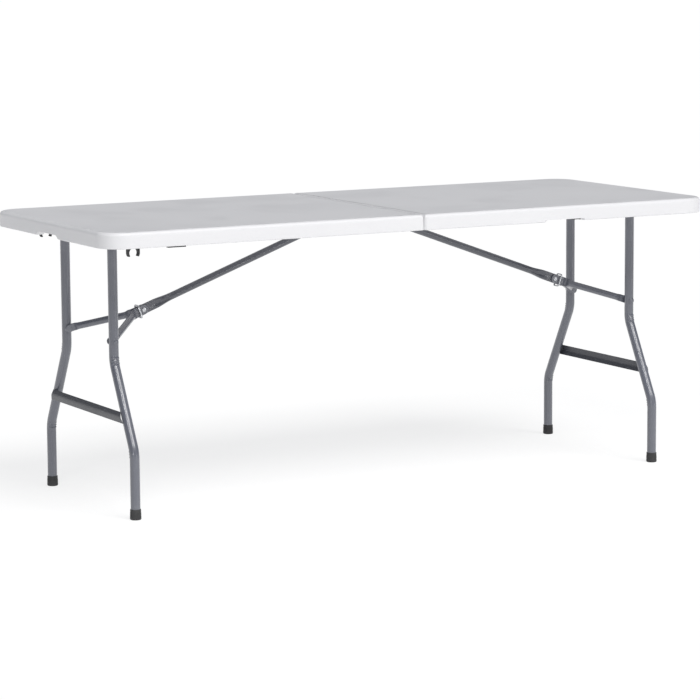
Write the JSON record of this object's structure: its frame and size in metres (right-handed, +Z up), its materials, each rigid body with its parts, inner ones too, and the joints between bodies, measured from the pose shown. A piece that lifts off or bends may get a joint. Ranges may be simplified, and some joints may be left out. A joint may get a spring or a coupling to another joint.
{
  "type": "folding table",
  "caption": "Rectangular folding table with a white moulded top in two halves that close like a case and two braced steel leg frames that fold flat.",
  "frame": {"origin": "on the floor under the middle of the table top, table open", "axes": "+X along the length towards the half with the carrying handle, +Y across the width away from the near side, +Z up"},
  "size_m": [1.8, 0.74, 0.74],
  "materials": {
    "white_plastic": "white blow-moulded polyethylene with a fine granite-like grain",
    "black_plastic": "black moulded plastic, satin",
    "grey_powder_coat": "blue-grey powder coat, semi-gloss",
    "zinc_steel": "bright zinc plate"
  },
  "bodies": {
    "left_half": {"top_left": "white_plastic", "left_near_bearing": "black_plastic", "left_far_bearing": "black_plastic", "left_brace_bracket": "grey_powder_coat", "left_brace_pin": "zinc_steel", "left_near_hinge_leaf": "zinc_steel", "left_near_hinge_pin": "zinc_steel", "left_far_hinge_leaf": "zinc_steel", "left_far_hinge_pin": "zinc_steel", "near_closing_clip": "black_plastic", "far_closing_clip": "black_plastic", "near_bumper_pad": "black_plastic", "far_bumper_pad": "black_plastic"},
    "hinge_links": {"near_hinge_link": "zinc_steel", "far_hinge_link": "zinc_steel"},
    "right_half": {"top_right": "white_plastic", "right_near_bearing": "black_plastic", "right_far_bearing": "black_plastic", "right_brace_bracket": "grey_powder_coat", "right_brace_pin": "zinc_steel", "right_near_hinge_leaf": "zinc_steel", "right_near_hinge_pin": "zinc_steel", "right_far_hinge_leaf": "zinc_steel", "right_far_hinge_pin": "zinc_steel", "handle_lug_inner": "black_plastic", "handle_lug_outer": "black_plastic"},
    "carry_handle": {"carry_handle": "black_plastic"},
    "left_legs": {"left_pivot_bar": "grey_powder_coat", "left_crossbar": "grey_powder_coat", "left_near_leg": "grey_powder_coat", "left_near_foot_cap": "black_plastic", "left_near_leg_rivet": "grey_powder_coat", "left_far_leg": "grey_powder_coat", "left_far_foot_cap": "black_plastic", "left_far_leg_rivet": "grey_powder_coat"},
    "left_upper_brace": {"left_upper_brace": "grey_powder_coat"},
    "left_lower_brace": {"left_near_brace_arm": "grey_powder_coat", "left_far_brace_arm": "grey_powder_coat", "left_knee_rivet": "zinc_steel"},
    "left_lock_ring": {"left_lock_ring": "zinc_steel"},
    "right_legs": {"right_pivot_bar": "grey_powder_coat", "right_crossbar": "grey_powder_coat", "right_near_leg": "grey_powder_coat", "right_near_foot_cap": "black_plastic", "right_near_leg_rivet": "grey_powder_coat", "right_far_leg": "grey_powder_coat", "right_far_foot_cap": "black_plastic", "right_far_leg_rivet": "grey_powder_coat"},
    "right_upper_brace": {"right_upper_brace": "grey_powder_coat"},
    "right_lower_brace": {"right_near_brace_arm": "grey_powder_coat", "right_far_brace_arm": "grey_powder_coat", "right_knee_rivet": "zinc_steel"},
    "right_lock_ring": {"right_lock_ring": "zinc_steel"}
  },
  "joints": [
    {"name": "seam_fold_left", "type": "hinge", "parent": "left_half", "child": "hinge_links", "pos_m": [-0.009, 0, 0.7063], "axis": [0, 1, 0], "range_deg": [0, 90]},
    {"name": "seam_fold_right", "type": "hinge", "parent": "hinge_links", "child": "right_half", "pos_m": [0.009, 0, 0.7063], "axis": [0, 1, 0], "range_deg": [0, 90]},
    {"name": "left_leg_fold", "type": "hinge", "parent": "left_half", "child": "left_legs", "pos_m": [-0.787, 0, 0.716], "axis": [0, -1, 0], "range_deg": [0, 90]},
    {"name": "left_brace_swing", "type": "hinge", "parent": "left_half", "child": "left_upper_brace", "pos_m": [-0.036, 0, 0.713], "axis": [0, 1, 0], "range_deg": [0, 20.39]},
    {"name": "left_knee_fold", "type": "hinge", "parent": "left_upper_brace", "child": "left_lower_brace", "pos_m": [-0.63471, 0, 0.49536], "axis": [0, -1, 0], "range_deg": [0, 180]},
    {"name": "left_ring_slide", "type": "slide", "parent": "left_upper_brace", "child": "left_lock_ring", "axis": [0.9398, 0, 0.3416], "range_m": [0, 0.1002]},
    {"name": "right_leg_fold", "type": "hinge", "parent": "right_half", "child": "right_legs", "pos_m": [0.787, 0, 0.716], "axis": [0, 1, 0], "range_deg": [0, 90]},
    {"name": "right_brace_swing", "type": "hinge", "parent": "right_half", "child": "right_upper_brace", "pos_m": [0.036, 0, 0.713], "axis": [0, -1, 0], "range_deg": [0, 20.39]},
    {"name": "right_knee_fold", "type": "hinge", "parent": "right_upper_brace", "child": "right_lower_brace", "pos_m": [0.63471, 0, 0.49536], "axis": [0, 1, 0], "range_deg": [0, 180]},
    {"name": "right_ring_slide", "type": "slide", "parent": "right_upper_brace", "child": "right_lock_ring", "axis": [-0.9398, 0, 0.3416], "range_m": [0, 0.1002]},
    {"name": "handle_swing", "type": "hinge", "parent": "right_half", "child": "carry_handle", "pos_m": [0.432, -0.343, 0.7016], "axis": [-1, 0, 0], "range_deg": [0, 180]}
  ],
  "couplings": [
    {"joint": "left_brace_swing", "follows": "left_leg_fold", "ratio": 0.22599},
    {"joint": "left_knee_fold", "follows": "left_leg_fold", "ratio": 2},
    {"joint": "left_ring_slide", "follows": "left_leg_fold", "m_per_rad": 0.063662},
    {"joint": "right_brace_swing", "follows": "right_leg_fold", "ratio": 0.22599},
    {"joint": "right_knee_fold", "follows": "right_leg_fold", "ratio": 2},
    {"joint": "right_ring_slide", "follows": "right_leg_fold", "m_per_rad": 0.063662}
  ]
}
